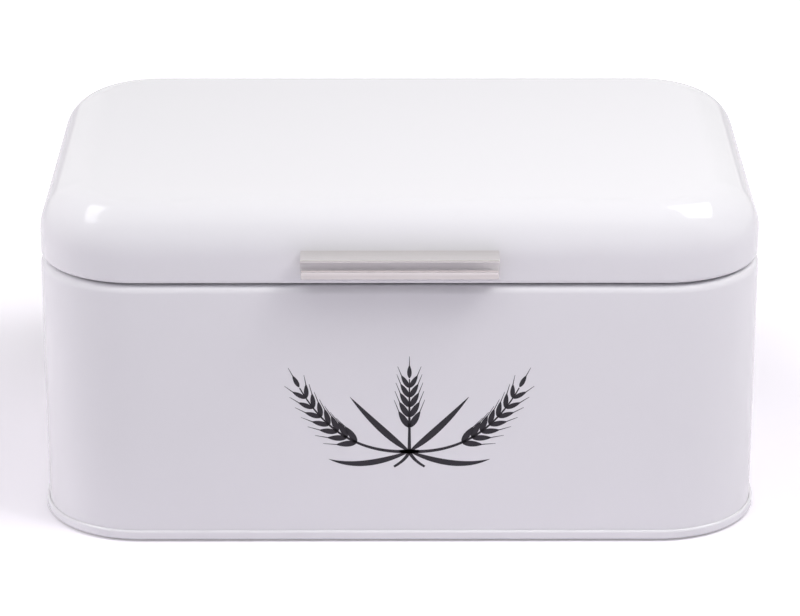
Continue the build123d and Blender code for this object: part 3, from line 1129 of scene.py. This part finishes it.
@dataclass
class Studio:
    """The pale studio: camera, floor, soft lamps and a plain surround.

    Each lift is light that the floor adds where it is seen. Each reach is the stretch over which a level
    changes, in metres on the floor and as a share of the direction in the room.
    """

    pitch: float = 21.266
    yaw: float = 0.12
    distance: float = 1.5445
    aim: Triple = (0.00027, 0.0, 0.0669)
    focal_pixels: float = 3459.2
    frame_width: float = 800.0
    sensor: float = 36.0
    floor_half: float = 4.0
    floor_lift: float = 0.23
    far_lift: float = 0.70
    lift_reach: Pair = (0.2, 0.45)
    gloss_lift: float = 0.31
    gloss_share: float = 0.1
    gloss_reach: Pair = (-0.2, 0.3)
    floor_tone: str = "f3eef5"
    # Painted shade: seen in gloss, the floor in front of the box turns to this darker colour.
    front_shade_tone: str = "dcd6dc"
    front_reach: Pair = (-0.25, 0.0)
    room_front: float = 0.4
    room_reach: Pair = (-0.45, -0.25)
    glows: tuple[Glow, ...] = (
        Glow((-1.0, 0.0, 0.0), 4.0, 2.15, "fffeff"),
        Glow((-0.85, 0.5, 0.1), 4.0, 0.95, "fefaff"),
        Glow((0.85, 0.5, 0.1), 4.0, 1.2, "feffff"),
        Glow((0.0, -1.0, 0.0), 1.0, 0.20, "dde4ff"),
    )
    lamp_distance: float = 1.3
    lamps: tuple[Lamp, ...] = (
        Lamp("left_softbox", (-0.583, 0.096, 0.807), (0.925, 0.248), -21.0, 3.0, Task.MIRROR),
        Lamp("right_softbox", (0.446, 0.174, 0.878), (0.841, 0.486), 3.6, 4.0, Task.MIRROR),
        Lamp("key_softbox", (0.52, -0.36, 0.80), (0.45, 0.60), 0.0, 3.5, Task.LIGHT),
        Lamp("key_beauty", (0.47, -0.30, 0.84), (0.40, 0.40), 0.0, 6.6, Task.LIGHT),
        Lamp("overhead_scrim", (0.0, -0.35, 0.95), (1.4, 0.4), 0.0, 3.2, Task.LIGHT),
        Lamp("front_scrim", (0.0, -0.53, 0.85), (1.4, 0.3), 0.0, 0.8, Task.LIGHT),
    )

    def camera(self) -> None:
        """Sets the camera as it was fitted to the photograph.

        Its forward direction is (sin yaw cos pitch, cos yaw cos pitch, -sin pitch), and it stands its
        distance back from its aim.
        """
        pitch, yaw = radians(self.pitch), radians(self.yaw)
        ahead = np.array([
            sin(yaw) * cos(pitch), cos(yaw) * cos(pitch), -sin(pitch)])
        data = bpy.data.cameras.new("photo_camera")
        data.sensor_fit = "HORIZONTAL"
        data.sensor_width = self.sensor
        data.lens = self.focal_pixels * self.sensor / self.frame_width
        camera = bpy.data.objects.new("photo_camera", data)
        camera.location = np.array(self.aim) - ahead * self.distance
        camera.rotation_euler = (radians(90.0) - pitch, 0.0, -yaw)
        bpy.context.scene.collection.objects.link(camera)
        bpy.context.scene.camera = camera

    def hang(self, lamp: Lamp) -> None:
        """Hangs one lamp, with its radiance as the brightness of its face, where 1 is white.

        Args:
            lamp: the lamp to hang.
        """
        data = bpy.data.lights.new(lamp.name, "AREA")
        data.shape = "RECTANGLE"
        data.size, data.size_y = lamp.size
        data.energy = lamp.radiance * pi * lamp.size[0] * lamp.size[1]
        light = bpy.data.objects.new(lamp.name, data)
        direction = Vector(lamp.towards).normalized()
        light.location = direction * self.lamp_distance + Vector(self.aim)
        facing = direction.to_track_quat("Z", "Y").to_matrix()
        light.rotation_euler = (facing @ Matrix.Rotation(radians(lamp.turn), 3, "Z")).to_euler()
        light.visible_glossy = lamp.task is Task.MIRROR
        light.visible_diffuse = lamp.task is Task.LIGHT
        bpy.context.scene.collection.objects.link(light)

    def surround(self) -> None:
        """Lights the room by the sum of the glows; to the eye it is plain white, in gloss dimmer towards
        the front.
        """
        world = bpy.data.worlds.new("plain_surround")
        bpy.context.scene.world = world
        add = cleared(world)
        place = add("ShaderNodeTexCoord").outputs["Generated"]
        total = add("ShaderNodeVectorMath", operation="ADD")
        for glow in self.glows:
            share = tuple(glow.strength * c for c in linear(glow.colour)[:3])
            lean = add("ShaderNodeVectorMath", (
                place, tuple(Vector(glow.axis).normalized())), operation="DOT_PRODUCT")
            half = add("ShaderNodeMath", (lean.outputs["Value"], 0.0), operation="ADD", use_clamp=True)
            lobe = add("ShaderNodeMath", (half, glow.power), operation="POWER")
            part = add("ShaderNodeVectorMath", {0: share, "Scale": lobe}, operation="SCALE")
            total = add("ShaderNodeVectorMath", (total, part), operation="ADD")
        lit = add("ShaderNodeBackground", {"Color": total, "Strength": 1.0})
        axes = add("ShaderNodeSeparateXYZ", {"Vector": place})
        front = add("ShaderNodeMapRange", (axes.outputs["Y"], *self.room_reach, self.room_front, 1.0))
        path = add("ShaderNodeLightPath").outputs
        level = add("ShaderNodeMath", (front, path["Is Camera Ray"]), operation="MAXIMUM")
        plain = add("ShaderNodeBackground", {"Color": linear("ffffff"), "Strength": level})
        seen = add("ShaderNodeMath", (path["Is Camera Ray"], path["Is Glossy Ray"]), operation="ADD")
        seen = add("ShaderNodeMath", (seen, path["Is Transmission Ray"]), operation="ADD", use_clamp=True)
        mixed = add("ShaderNodeMixShader", (seen, lit, plain))
        add("ShaderNodeOutputWorld", {"Surface": mixed})

    def floor(self) -> None:
        """Lays the pale floor, lifted to white where it is seen, so that it keeps the object's shadow."""
        corners = self.floor_half * np.array([(-1, -1, 0), (1, -1, 0), (1, 1, 0), (-1, 1, 0)])
        piece = mesh_piece("floor", corners, [np.array([[0, 1, 2, 3]])])
        material, add, place = blank_material("pale_floor")
        path = add("ShaderNodeLightPath").outputs
        depth = add("ShaderNodeSeparateXYZ", {"Vector": place}).outputs["Y"]
        reach = add("ShaderNodeVectorMath", (place,), operation="LENGTH")
        ahead = add("ShaderNodeMapRange", (depth, *self.front_reach, 1.0, 0.0))
        shade = add("ShaderNodeMath", (ahead, path["Is Glossy Ray"]), operation="MULTIPLY")
        # Painted shade in reflections: glossy rays see the floor's front in the darker front shade colour,
        # and the camera sees the floor's own colour.
        tone = add("ShaderNodeMix", {
            0: shade, 6: linear(self.floor_tone), 7: linear(self.front_shade_tone)}, data_type="RGBA")
        matt = add("ShaderNodeBsdfDiffuse", {"Color": tone.outputs[2]})
        near = add("ShaderNodeMapRange", (
            reach.outputs["Value"], *self.lift_reach, self.floor_lift, self.far_lift))
        eye = add("ShaderNodeMath", (near, path["Is Camera Ray"]), operation="MULTIPLY")
        behind = add("ShaderNodeMapRange", (
            depth, *self.gloss_reach, self.gloss_share * self.gloss_lift, self.gloss_lift))
        mirrored = add("ShaderNodeMath", (
            path["Is Glossy Ray"], path["Is Transmission Ray"]), operation="ADD")
        mirrored = add("ShaderNodeMath", (mirrored, behind), operation="MULTIPLY")
        lift = add("ShaderNodeMath", (eye, mirrored), operation="ADD")
        glow = add("ShaderNodeEmission", {"Color": linear("ffffff"), "Strength": lift})
        both = add("ShaderNodeAddShader", (matt, glow))
        add("ShaderNodeOutputMaterial", {"Surface": both})
        piece.data.materials.append(material)

    def build(self) -> None:
        """Sets up everything but the object."""
        self.camera()
        self.surround()
        self.floor()
        for lamp in self.lamps:
            self.hang(lamp)
        bpy.context.scene.view_settings.view_transform = "Standard"


def main() -> None:
    """Builds the studio and the box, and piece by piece."""
    logging.basicConfig(level=logging.INFO, format="%(name)s: %(message)s")
    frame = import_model()
    Studio().build()
    finishes = Finishes()
    finishes.dress_nodes(frame["nodes"], frame["record"])
    for assembly in (BasePanel, BodyShell, LidShell, Pull, Fasteners, Feet, Ornament):
        assembly(finishes).build()


if __name__ == "__main__":
    main()
